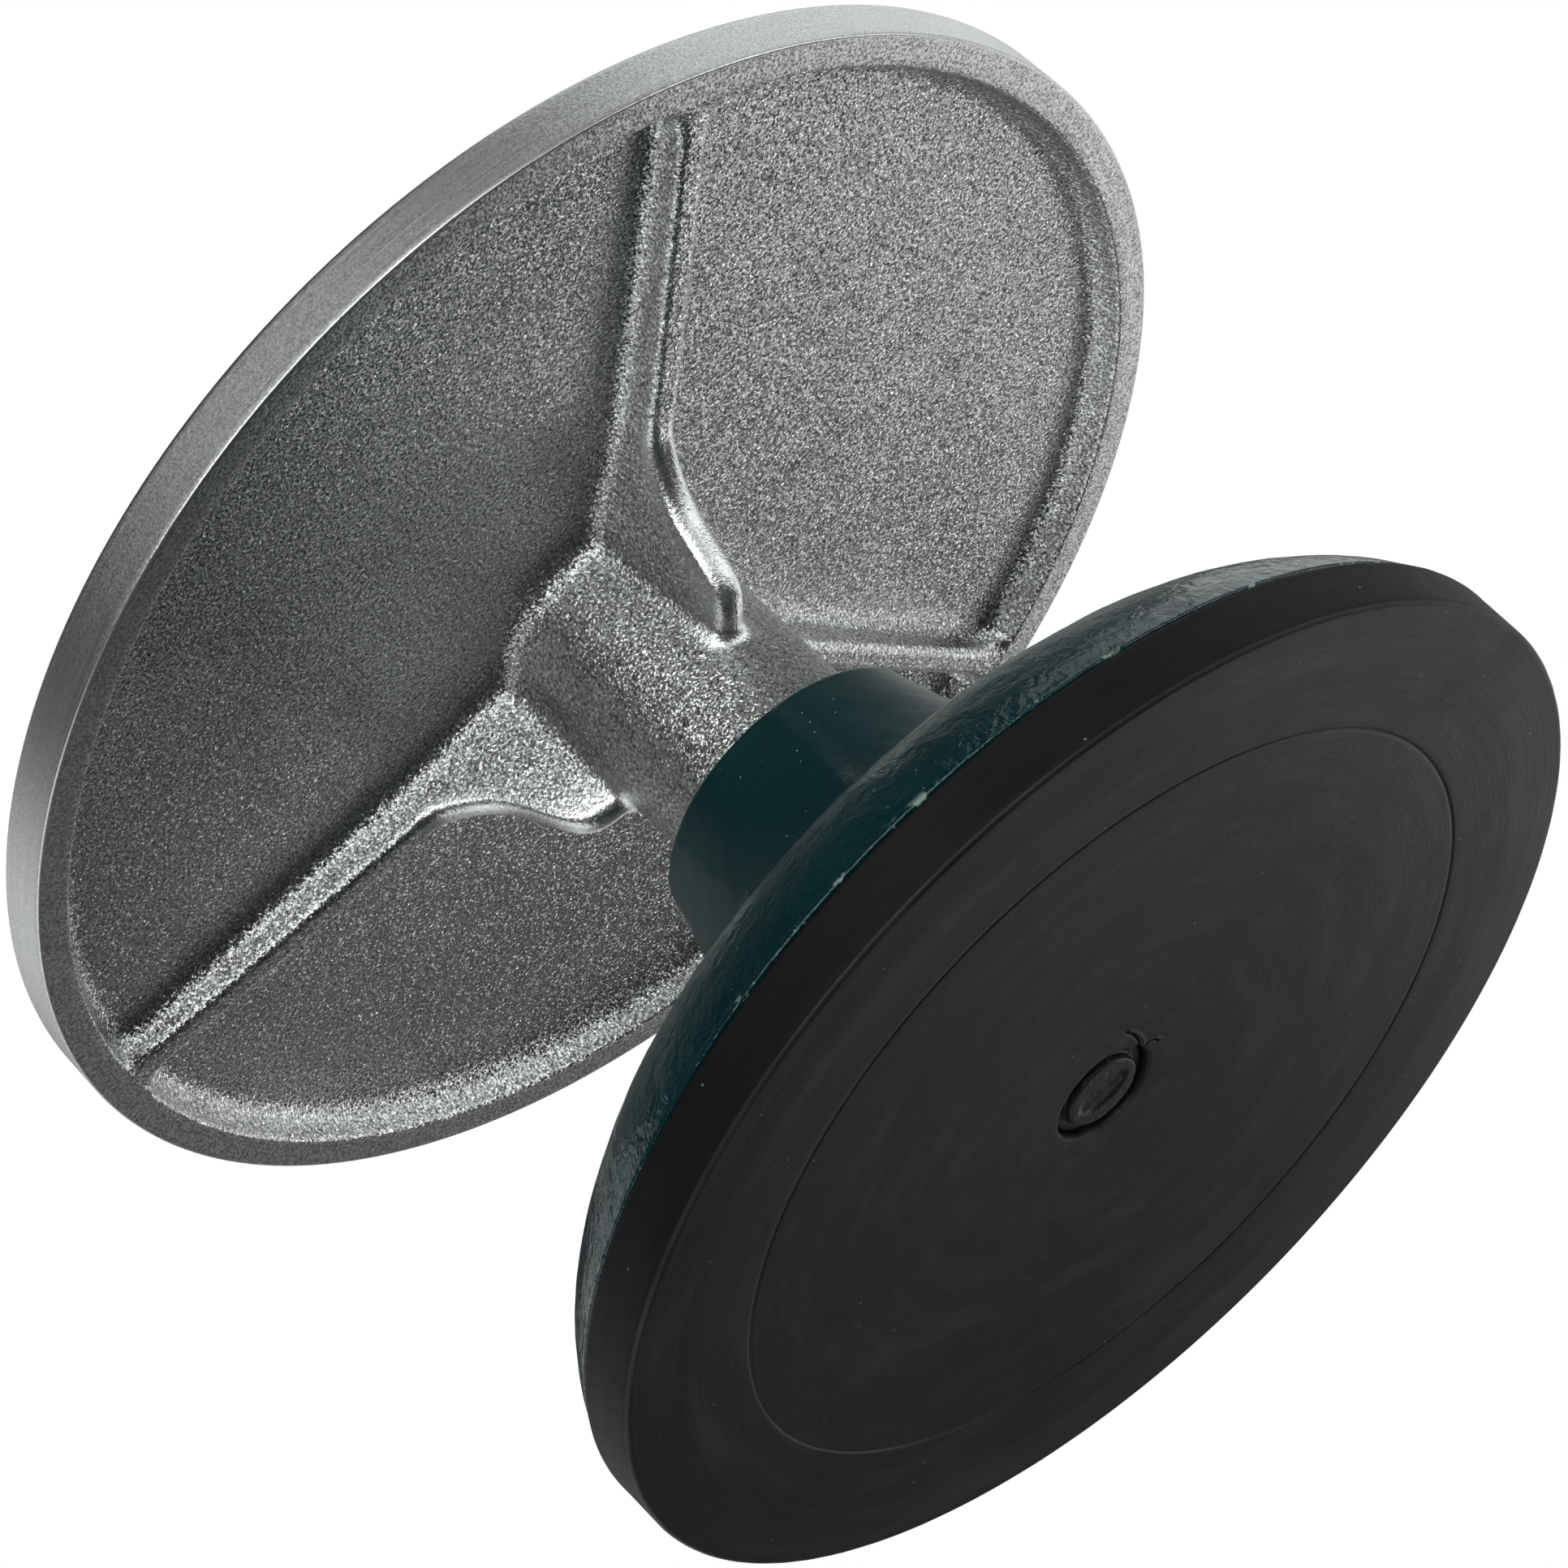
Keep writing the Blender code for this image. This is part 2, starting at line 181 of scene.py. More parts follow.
# ------------------------------------------------------------------ node helper
class Nodes:
    def __init__(self, name):
        self.m = bpy.data.materials.new(name)
        self.m.use_nodes = True
        self.t = self.m.node_tree
        self.p = self.t.nodes["Principled BSDF"]
        self.co = self.add("ShaderNodeTexCoord").outputs["Object"]

    def add(self, kind, **props):
        n = self.t.nodes.new(kind)
        for k, v in props.items():
            setattr(n, k, v)
        return n

    def put(self, socket, value):
        if isinstance(value, bpy.types.NodeSocket):
            self.t.links.new(value, socket)
        else:
            socket.default_value = value

    def math(self, op, a, b=0.0, c=0.0, clamp=False):
        n = self.add("ShaderNodeMath", operation=op, use_clamp=clamp)
        self.put(n.inputs[0], a)
        self.put(n.inputs[1], b)
        self.put(n.inputs[2], c)
        return n.outputs[0]

    def vec(self, op, a, b=None, scale=None):
        n = self.add("ShaderNodeVectorMath", operation=op)
        self.put(n.inputs[0], a)
        if b is not None:
            self.put(n.inputs[1], b)
        if scale is not None:
            self.put(n.inputs["Scale"], scale)
        return n.outputs["Value"] if op in ("LENGTH", "DOT_PRODUCT", "DISTANCE") else n.outputs[0]

    def noise(self, scale, detail=2.0, rough=0.5, co=None, dist=0.0, color=False):
        n = self.add("ShaderNodeTexNoise")
        self.put(n.inputs["Vector"], co or self.co)
        n.inputs["Scale"].default_value = scale
        n.inputs["Detail"].default_value = detail
        n.inputs["Roughness"].default_value = rough
        n.inputs["Distortion"].default_value = dist
        return n.outputs["Color" if color else "Fac"]

    def voronoi(self, scale, co=None, out="Distance", feature="F1", random=1.0):
        n = self.add("ShaderNodeTexVoronoi", feature=feature)
        self.put(n.inputs["Vector"], co or self.co)
        n.inputs["Scale"].default_value = scale
        n.inputs["Randomness"].default_value = random
        return n.outputs[out]

    def ramp(self, value, a, b, lo=0.0, hi=1.0):
        n = self.add("ShaderNodeMapRange")
        n.clamp = True
        self.put(n.inputs["Value"], value)
        for k, v in (("From Min", a), ("From Max", b), ("To Min", lo), ("To Max", hi)):
            self.put(n.inputs[k], v)
        return n.outputs[0]

    def mix(self, fac, a, b):
        n = self.add("ShaderNodeMix", data_type="RGBA")
        self.put(n.inputs[0], fac)
        for s, v in ((n.inputs[6], a), (n.inputs[7], b)):
            self.put(s, v if isinstance(v, bpy.types.NodeSocket) else (*v, 1.0))
        return n.outputs[2]

    def bump(self, height, dist, strength=1.0, normal=None):
        n = self.add("ShaderNodeBump")
        n.inputs["Strength"].default_value = strength
        n.inputs["Distance"].default_value = dist
        self.put(n.inputs["Height"], height)
        if normal is not None:
            self.put(n.inputs["Normal"], normal)
        return n.outputs[0]

    def tilt(self, color, amount):
        """The surface normal leaned by a random vector, as a grain's facet is."""
        v = self.vec("SUBTRACT", color, (0.5, 0.5, 0.5))
        v = self.vec("SCALE", v, scale=amount)
        g = self.add("ShaderNodeNewGeometry").outputs["Normal"]
        return self.vec("NORMALIZE", self.vec("ADD", g, v))

    def split(self, co=None):
        n = self.add("ShaderNodeSeparateXYZ")
        self.put(n.inputs[0], co or self.co)
        return n.outputs

    def polar(self, around, along, use_z=False):
        """Coordinates that stretch a texture round the axis."""
        x, y, z = self.split()
        r = self.math("SQRT", self.math("ADD", self.math("MULTIPLY", x, x),
                                        self.math("MULTIPLY", y, y)))
        rr = self.math("MAXIMUM", r, 1e-5)
        n = self.add("ShaderNodeCombineXYZ")
        self.put(n.inputs[0], self.math("MULTIPLY", self.math("DIVIDE", x, rr), around))
        self.put(n.inputs[1], self.math("MULTIPLY", self.math("DIVIDE", y, rr), around))
        self.put(n.inputs[2], self.math("MULTIPLY", z if use_z else r, along))
        return n.outputs[0], r, z

    def set(self, **kw):
        for k, v in kw.items():
            self.put(self.p.inputs[k.replace("_", " ")], v if not isinstance(v, tuple) else
                     ((*v, 1.0) if len(v) == 3 else v))


# ------------------------------------------------------------------ materials
def mat_cast(name="cast_grain"):
    n = Nodes(name)
    g1 = n.noise(2250, 2.0, 0.6, color=True)
    g2 = n.noise(2250, 2.0, 0.6)
    g3 = n.noise(2000, 2.0, 0.6, n.vec("ADD", n.co, (0.13, 0.07, 0.21)))
    worn = n.add("ShaderNodeAttribute", attribute_name="worn").outputs["Fac"]
    fine = n.noise(4200, 1.0, 0.5)
    broad = n.noise(90, 3.0, 0.6)
    body = n.mix(n.ramp(broad, 0.3, 0.7), (0.47, 0.475, 0.465), (0.56, 0.57, 0.56))
    pit = n.ramp(g3, 0.36, 0.50, 0.0, 1.0)
    body = n.mix(n.math("MAXIMUM", pit, worn), (0.17, 0.175, 0.17), body)
    peak = n.ramp(g3, 0.57, 0.64)
    body = n.mix(peak, body, (0.96, 0.97, 0.96))
    body = n.mix(n.math("MULTIPLY", worn, 0.85), body, (0.60, 0.61, 0.60))
    n.set(Base_Color=body, Metallic=1.0)
    n.put(n.p.inputs["Roughness"], n.math("ADD", n.ramp(fine, 0.3, 0.7, 0.26, 0.34),
                                          n.math("MULTIPLY", peak, -0.08)))
    h = n.math("ADD", g2, n.math("MULTIPLY", fine, 0.25))
    floor_z = n.split()[2]
    lean = n.math("SUBTRACT", n.ramp(floor_z, 0.108, 0.113, 1.45, 2.2), n.math("MULTIPLY", worn, 1.1))
    nn = n.bump(h, 0.0002, 0.5, n.tilt(g1, lean))
    n.put(n.p.inputs["Normal"], nn)
    return n.m


def mat_land():
    n = Nodes("rim_land_faced")
    g1 = n.noise(2300, 2.0, 0.6, color=True)
    g2 = n.noise(2300, 2.0, 0.6)
    co, r, z = n.polar(5.0, 5200.0)
    lines = n.noise(1.0, 2.0, 0.5, co)
    body = n.mix(n.ramp(g2, 0.35, 0.62), (0.26, 0.265, 0.26), (0.66, 0.67, 0.66))
    n.set(Base_Color=body, Metallic=1.0)
    n.put(n.p.inputs["Roughness"], n.ramp(lines, 0.3, 0.7, 0.38, 0.5))
    nn = n.bump(g2, 0.0002, 0.4, n.tilt(g1, 0.55))
    n.put(n.p.inputs["Normal"], nn)
    return n.m


def mat_side():
    n = Nodes("rim_side_turned")
    g1 = n.noise(3000, 2.0, 0.6, color=True)
    g2 = n.noise(3000, 2.0, 0.6)
    co, r, z = n.polar(4.0, 9000.0, True)
    lines = n.noise(1.0, 2.0, 0.5, co)
    body = n.mix(n.ramp(g2, 0.3, 0.65), (0.46, 0.47, 0.465), (0.72, 0.73, 0.725))
    n.set(Base_Color=body, Metallic=1.0)
    n.put(n.p.inputs["Roughness"], n.ramp(lines, 0.3, 0.7, 0.30, 0.42))
    nn = n.bump(lines, 0.00004, 0.6, n.tilt(g1, 0.28))
    n.put(n.p.inputs["Normal"], nn)
    return n.m


def mat_face():
    n = Nodes("working_face_turned")
    co, r, z = n.polar(3.0, 7000.0)
    lines = n.noise(1.0, 3.0, 0.6, co)
    feed = n.math("SINE", n.math("MULTIPLY", r, 2 * math.pi / 0.00032))
    broad = n.noise(45, 3.0, 0.6)
    fine = n.noise(2600, 2.0, 0.6)
    body = n.mix(n.ramp(broad, 0.3, 0.7), (0.47, 0.48, 0.475), (0.57, 0.575, 0.57))
    scratch = n.ramp(n.noise(1.0, 2.0, 0.5, n.polar(22.0, 2600.0)[0]), 0.66, 0.72)
    body = n.mix(scratch, body, (0.72, 0.73, 0.72))
    n.set(Base_Color=body, Metallic=1.0)
    n.put(n.p.inputs["Roughness"], n.math("ADD", n.ramp(lines, 0.3, 0.7, 0.24, 0.36),
                                          n.ramp(broad, 0.35, 0.7, 0.0, 0.06)))
    h = n.math("ADD", n.math("MULTIPLY", feed, 0.35), n.math("MULTIPLY", lines, 1.2))
    h = n.math("ADD", h, n.math("MULTIPLY", fine, 0.5))
    n.put(n.p.inputs["Normal"], n.bump(h, 0.00003, 0.7))
    return n.m


def mat_enamel():
    n = Nodes("enamel_green")
    x, y, z = n.split()
    lump = n.noise(260, 3.0, 0.6, dist=0.4)
    small = n.noise(900, 2.0, 0.55)
    broad = n.noise(60, 2.0, 0.5)
    body = n.mix(n.ramp(broad, 0.3, 0.7), (0.0005, 0.018, 0.0215), (0.0008, 0.025, 0.029))
    speck = n.math("MULTIPLY", n.ramp(n.voronoi(420), 0.035, 0.06, 1.0, 0.0),
                   n.ramp(n.noise(70, 1.0, 0.5), 0.46, 0.52))
    body = n.mix(speck, body, (0.38, 0.42, 0.40))
    low = n.ramp(z, 0.0094, 0.0106, 1.0, 0.0)
    chip = n.math("MULTIPLY", low, n.ramp(n.noise(240, 3.0, 0.65), 0.60, 0.64))
    body = n.mix(chip, body, (0.22, 0.33, 0.27))
    n.set(Base_Color=body, Coat_Weight=0.12, Coat_Roughness=0.06, Specular_IOR_Level=0.36)
    rough = n.ramp(small, 0.3, 0.7, 0.15, 0.24)
    n.put(n.p.inputs["Roughness"], n.math("ADD", rough, n.math("MULTIPLY", chip, 0.5)))
    calm = n.ramp(z, 0.036, 0.052, 1.0, 0.22)
    h = n.math("MULTIPLY", n.math("ADD", lump, n.math("MULTIPLY", small, 0.16)), calm)
    nn = n.bump(h, 0.0011, 0.5)
    n.put(n.p.inputs["Normal"], nn)
    n.put(n.p.inputs["Coat Normal"], nn)
    return n.m


def mat_neck_end():
    n = Nodes("neck_end_rough_painted_shade")
    g = n.noise(900, 3.0, 0.7)
    # near-black colour: painted shade for the gap between the neck's end and the head, and for the base's hollow
    # inside
    body = n.mix(n.ramp(g, 0.35, 0.65), (0.003, 0.004, 0.004), (0.03, 0.04, 0.04))
    n.set(Base_Color=body, Roughness=0.75)
    n.put(n.p.inputs["Normal"], n.bump(g, 0.0005, 0.9))
    return n.m


def mat_rubber(side=False):
    n = Nodes("rubber_side" if side else "rubber_black")
    co, r, z = n.polar(3.5, 3200.0, side)
    scuff = n.noise(1.0, 3.0, 0.6, co)
    arcs = n.noise(1.0, 2.0, 0.55, n.polar(9.0, 900.0, side)[0])
    broad = n.noise(38, 4.0, 0.6)
    fine = n.noise(2400, 2.0, 0.6)
    swirl = n.noise(1.0, 3.0, 0.6, n.polar(2.4, 210.0, side)[0])
    body = n.mix(n.ramp(broad, 0.3, 0.7), (0.0036, 0.0036, 0.0035), (0.0078, 0.0077, 0.0074))
    body = n.mix(n.ramp(swirl, 0.48, 0.74, 0.0, 0.2 if side else 0.9), body,
                 (0.0250, 0.0247, 0.0238))
    amount = n.ramp(r, 0.045, 0.082, 0.15, 1.0) if not side else 0.25
    worn = n.math("MULTIPLY", n.ramp(scuff, 0.52, 0.72), amount)
    body = n.mix(worn, body, (0.015, 0.015, 0.0145))
    haze = n.math("MULTIPLY", n.ramp(arcs, 0.55, 0.75), 0.35 if side else 0.55)
    body = n.mix(haze, body, (0.0125, 0.0123, 0.0118))
    dust = n.math("MULTIPLY", n.ramp(n.voronoi(330), 0.045, 0.075, 1.0, 0.0),
                  n.ramp(n.noise(110, 1.0, 0.5), 0.56, 0.62))
    body = n.mix(dust, body, (0.17, 0.165, 0.155))
    if not side:
        hair = n.noise(700, 2.0, 0.6)
        for a, b in (((-0.6, 14.9), (6.7, 17.2)), ((-24.0, 11.0), (-22.0, 24.0)),
                     ((-26.5, 19.0), (-24.5, 37.0)), ((-9.0, 21.5), (-1.0, 25.5)),
                     ((12.0, 20.0), (22.0, 21.5)), ((-30.0, -14.0), (-17.0, -20.0)),
                     ((20.0, -26.0), (31.0, -19.0)), ((4.0, 38.0), (17.0, 41.0))):
            av, bv = (a[0] * MM, a[1] * MM, 0.0), ((b[0] - a[0]) * MM, (b[1] - a[1]) * MM, 0.0)
            pa = n.vec("SUBTRACT", n.vec("MULTIPLY", n.co, (1.0, 1.0, 0.0)), av)
            t = n.math("DIVIDE", n.vec("DOT_PRODUCT", pa, bv), bv[0] ** 2 + bv[1] ** 2, clamp=True)
            gap = n.vec("LENGTH", n.vec("SUBTRACT", pa, n.vec("SCALE", bv, scale=t)))
            gap = n.math("ADD", gap, n.math("MULTIPLY", n.math("SUBTRACT", hair, 0.5), 0.0005))
            body = n.mix(n.ramp(gap, 0.00005, 0.00016, 0.75, 0.0), body, (0.026, 0.0255, 0.0245))
    n.set(Base_Color=body, Specular_IOR_Level=0.12 if side else 0.28)
    n.put(n.p.inputs["Roughness"], n.math("ADD", n.ramp(fine, 0.3, 0.7, 0.46, 0.56),
                                          n.math("MULTIPLY", n.ramp(broad, 0.35, 0.65), 0.06)))
    h = n.math("ADD", n.math("MULTIPLY", scuff, n.math("ADD", n.math("MULTIPLY", amount, 0.8)
                                                       if not side else 0.25, 0.15)),
               n.math("MULTIPLY", fine, 0.30))
    h = n.math("ADD", h, n.math("MULTIPLY", n.noise(520, 2.0, 0.5), 0.22))
    n.put(n.p.inputs["Normal"], n.bump(h, 0.00007, 0.7))
    return n.m


def mat_stud():
    n = Nodes("stud_moulded")
    g = n.noise(1300, 3.0, 0.6)
    broad = n.noise(300, 2.0, 0.5)
    body = n.mix(n.ramp(broad, 0.3, 0.7), (0.0058, 0.0058, 0.0055), (0.0105, 0.0104, 0.0100))
    pits = n.ramp(n.voronoi(1100), 0.10, 0.2, 1.0, 0.0)
    body = n.mix(pits, body, (0.002, 0.002, 0.002))
    n.set(Base_Color=body, Specular_IOR_Level=0.3)
    n.put(n.p.inputs["Roughness"], n.ramp(g, 0.3, 0.7, 0.38, 0.52))
    n.put(n.p.inputs["Normal"], n.bump(n.math("SUBTRACT", g, n.math("MULTIPLY", pits, 0.5)),
                                       0.00012, 0.8))
    return n.m


def mat_steel(name, lo, hi, r_lo, r_hi, metal=1.0):
    n = Nodes(name)
    co, r, z = n.polar(4.0, 6000.0, True)
    lines = n.noise(1.0, 3.0, 0.6, co)
    blot = n.noise(240, 3.0, 0.6)
    body = n.mix(n.ramp(blot, 0.3, 0.7), lo, hi)
    n.set(Base_Color=body, Metallic=metal)
    n.put(n.p.inputs["Roughness"], n.ramp(lines, 0.3, 0.7, r_lo, r_hi))
    n.put(n.p.inputs["Normal"], n.bump(lines, 0.00002, 0.5))
    return n.m


M_CAST = mat_cast()
M_LAND = mat_land()
M_SIDE = mat_side()
M_FACE = mat_face()
M_ENAMEL = mat_enamel()
M_NECK = mat_neck_end()
M_RUBBER = mat_rubber()
M_WALL = mat_rubber(True)
M_STUD = mat_stud()
M_STEEL = mat_steel("steel_ground", (0.50, 0.51, 0.52), (0.60, 0.61, 0.62), 0.18, 0.32)
M_BEAR = mat_steel("steel_bearing", (0.56, 0.56, 0.57), (0.66, 0.66, 0.67), 0.10, 0.22)
M_SPRING = mat_steel("steel_spring", (0.10, 0.10, 0.11), (0.18, 0.18, 0.19), 0.28, 0.42)
M_CAGE = mat_steel("polyamide_cage", (0.52, 0.43, 0.24), (0.62, 0.53, 0.32), 0.42, 0.56, 0.0)

for name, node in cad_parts.items():
    ob = node if isinstance(node, bpy.types.Object) else bpy.data.objects.get(name)
    if ob is None:
        continue
    m = (M_CAGE if "cage" in name else M_SPRING if "circlip" in name else
         M_BEAR if "bearing" in name else M_STEEL)
    if name in ("wheel_head", "base_casting", "foot_pad", "pad_stud"):
        continue
    for s in ob.material_slots:
        s.material = m
    if not ob.material_slots:
        ob.data.materials.append(m)


# ------------------------------------------------------------------ wheel head
def build_head():
    Z_TOP, Z_LAND, Z_FLOOR = 117.2, 109.0, 114.0
    HUB_R, HUB_END = 17.1, 70.2
    grid = np.linspace(14.0, 104.0, 3601)
    # the ridge of the gusset, an S from the rib's toe down to the hub
    gus = np.array([(14.0, 86.7), (17.3, 86.7), (20.6, 86.9), (23.2, 87.5), (24.9, 88.6),
                    (26.2, 90.2), (27.2, 92.2), (28.2, 94.6), (29.3, 97.2), (30.6, 99.6),
                    (32.5, 102.0), (34.6, 103.9), (36.6, 105.4), (38.6, 106.6), (40.6, 107.05)])
    rib = np.where(grid >= 40.6, 107.05 + (grid - 40.6) * 2.2 / 54.4,
                   np.interp(grid, gus[:, 0], gus[:, 1]))
    k = np.exp(-0.5 * (np.arange(-120, 121) * 0.025 / 0.75) ** 2)
    rib = np.convolve(np.pad(rib, 120, mode="edge"), k / k.sum(), "valid")
    rib = np.where(grid > 92.8, rib + (109.0 - rib) * np.clip((grid - 92.8) / 3.8, 0, 1), rib)

    def fil(r, r0, f):
        u = np.clip(r0 + f - r, 0, f)
        return f - np.sqrt(np.maximum(f * f - u * u, 0))

    wall = join(bezier((92.0, Z_FLOOR), (94.6, Z_FLOOR), (95.4, Z_LAND + 3.3),
                       (96.05, Z_LAND + 1.0), 11),
                bezier((96.05, Z_LAND + 1.0), (96.2, Z_LAND + 0.35), (96.4, Z_LAND),
                       (96.8, Z_LAND), 4))
    wr, wz = wall[:, 0], wall[:, 1]

    def z_floor(r):
        return np.where(r > 92.0, np.interp(r, wr, wz), Z_FLOOR - fil(r, HUB_R, 3.4))

    def z_rib(r):
        return np.interp(r, grid, rib) - fil(r, HUB_R, 2.0)

    delta = math.radians(4.0)
    f, w = 2.7, 2.5
    K_TOP, K_EDGE, K_SIDE, K_FIL, K_REST = 3, 4, 4, 6, 34

    def section(r):
        """Half of the cross-section at radius r: lateral offsets and heights."""
        zt, zf = float(z_rib(r)), float(z_floor(r))
        H = zf - zt
        H0 = max(H, 4.7)
        e = 1.35 + 0.75 * float(np.clip((44.0 - r) / 10.0, 0, 1))
        d0 = w - e
        phi = np.radians(np.linspace(-90, -math.degrees(delta), K_EDGE + 1))
        top = np.c_[np.linspace(0, d0, K_TOP + 1), np.zeros(K_TOP + 1)]
        edge = np.c_[d0 + e * np.cos(phi), e + e * np.sin(phi)]
        dA, zA = edge[-1]
        zB = H0 - f + f * math.sin(delta)
        L = (zB - zA) / math.cos(delta)
        side = np.c_[np.linspace(dA, dA + L * math.sin(delta), K_SIDE + 1),
                     np.linspace(zA, zB, K_SIDE + 1)]
        Cd = side[-1, 0] + f * math.cos(delta)
        psi = np.linspace(delta, math.pi / 2, K_FIL + 1)
        fl = np.c_[Cd - f * np.cos(psi), H0 - f + f * np.sin(psi)]
        s = np.vstack([top, edge[1:], side[1:], fl[1:]])
        ramp = np.clip((np.arange(len(s)) - K_TOP) / K_EDGE, 0, 1)
        s[:, 0] += ramp * (float(fil(r, HUB_R, 2.6)) + 2.6 * max(0.0, (r - 89.5) / 6.6) ** 2)
        return s[:, 0], zt + s[:, 1] * H / H0

    def ring(r):
        d, z = section(r)
        a = np.arcsin(np.clip(d / r, 0, 0.86))
        rest = np.linspace(a[-1], math.radians(60.0), K_REST + 1)[1:]
        a = np.concatenate([a, rest])
        z = np.concatenate([z, np.full(K_REST, float(z_floor(r)))])
        # mirror, then three times round
        A = np.concatenate([a, -a[1:-1][::-1] + math.radians(120.0)])
        Zr = np.concatenate([z, z[1:-1][::-1]])
        A = np.concatenate([A + math.radians(120.0 * k) for k in range(3)])
        return A + math.radians(RIB_AZ), np.tile(Zr, 3)

    R, Z, T, idx = [], [], [], []

    def add(r, z, t, m):
        n = len(t)
        R.append(np.full(n, float(r)))
        Z.append(np.full(n, float(z)) if np.isscalar(z) else z)
        T.append(t)
        idx.append(m)

    a_hub, z_hub = ring(HUB_R + 1e-4)
    # blind bore, end face and its rounded edge
    for r, z in ((0.02, 106.2), (3.0, 105.7), (7.0, 105.0), (7.8, 104.8), (7.8, 96.0),
                 (7.8, 84.0), (7.8, 72.0), (7.8, 70.8), (8.3, HUB_END), (11.0, HUB_END),
                 (14.0, HUB_END)):
        add(r, z, a_hub, 0)
    for p in arc(HUB_R - 0.9, HUB_END + 0.9, 0.9, -90, 0, 4):
        add(p[0], p[1], a_hub, 0)
    for t in np.linspace(0, 1, 26)[1:-1]:
        add(HUB_R, (HUB_END + 0.9) + t * (z_hub - HUB_END - 0.9), a_hub, 0)
    radii = list(HUB_R + 3.4 * (1 - np.cos(np.radians(np.linspace(2, 90, 10)))))
    radii += list(np.linspace(radii[-1], 40.0, 40)[1:]) + list(np.linspace(40.0, 90.0, 42)[1:])
    radii += list(np.linspace(90.0, 92.0, 3)[1:])
    for r in radii:
        a, z = ring(r)
        add(r, z, a, 0)
    for r in wr[1:]:
        a, z = ring(r)
        add(r, z, a, 0)
    a_rim = ring(96.8)[0]
    idx[-1] = 1
    for r in (98.0, 99.3, 100.6):
        add(r, Z_LAND, a_rim, 1)
    for p in arc(101.6 - 0.35, Z_LAND + 0.35, 0.35, -90, 0, 3):
        add(p[0], p[1], a_rim, 2)
    for z in np.linspace(Z_LAND + 1.0, Z_TOP - 1.2, 7):
        add(101.6, z, a_rim, 2)
    for p in arc(101.6 - 0.6, Z_TOP - 0.6, 0.6, 0, 90, 4):
        add(p[0], p[1], a_rim, 3)
    # working face with its guide grooves and centre mark
    for g in range(7, 0, -1):
        c = 12.7 * g
        for r in np.linspace((101.0 if g == 7 else c + 12.7 - 0.6), c + 0.75, 4)[1:]:
            add(r, Z_TOP, a_rim, 3)
        for u, h in ((0.45, 0.06), (0.28, 0.27), (0.0, 0.36), (-0.28, 0.27), (-0.45, 0.06),
                     (-0.6, 0.0)):
            add(c + u, Z_TOP - h, a_rim, 3)
    for r, h in ((8.0, 0.0), (4.0, 0.0), (1.9, 0.0), (1.6, 0.08), (0.9, 0.6), (0.35, 0.95),
                 (0.02, 1.05)):
        add(r, Z_TOP - h, a_rim, 3)
    R, Z, T = np.array(R), np.array(Z), np.array(T)

    def warp(P, r, z, t):
        cast = ((z < 113.99) | (z < 114.5)) & (r > 16.9) & (r < 96.0)
        soft = np.clip((96.0 - r) / 3.0, 0, 1)
        d = 0.055 * fbm(P, 9.0, 3, 3) + 0.035 * fbm(P, 3.2, 8, 2)
        return np.where(cast & (z < 115), d * soft, 0.0)

    ob = skin("wheel_head_cast", R, Z, T, [M_CAST, M_LAND, M_SIDE, M_FACE], idx, 32,
              warp=warp, flip=True)
    # the gussets' ridges are smooth: full along the crest, gone by the rib's flank
    half = K_TOP + K_EDGE + K_SIDE + K_FIL + 1 + K_REST
    c = np.clip((K_TOP + K_EDGE + 1.5 - np.arange(half)) / 2.0, 0, 1)
    c = np.tile(np.concatenate([c, c[1:-1][::-1]]), 3)
    rows = R.mean(1)
    along = np.clip((44.0 - rows) / 5.0, 0, 1) * (rows > HUB_R + 0.01)
    worn = np.zeros(len(ob.data.vertices))
    worn[:R.size] = (along[:, None] * c[None, :]).ravel()
    ob.data.attributes.new("worn", "FLOAT", "POINT").data.foreach_set("value", worn)
    return ob


head = build_head()
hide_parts("wheel_head")
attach(head, "head")


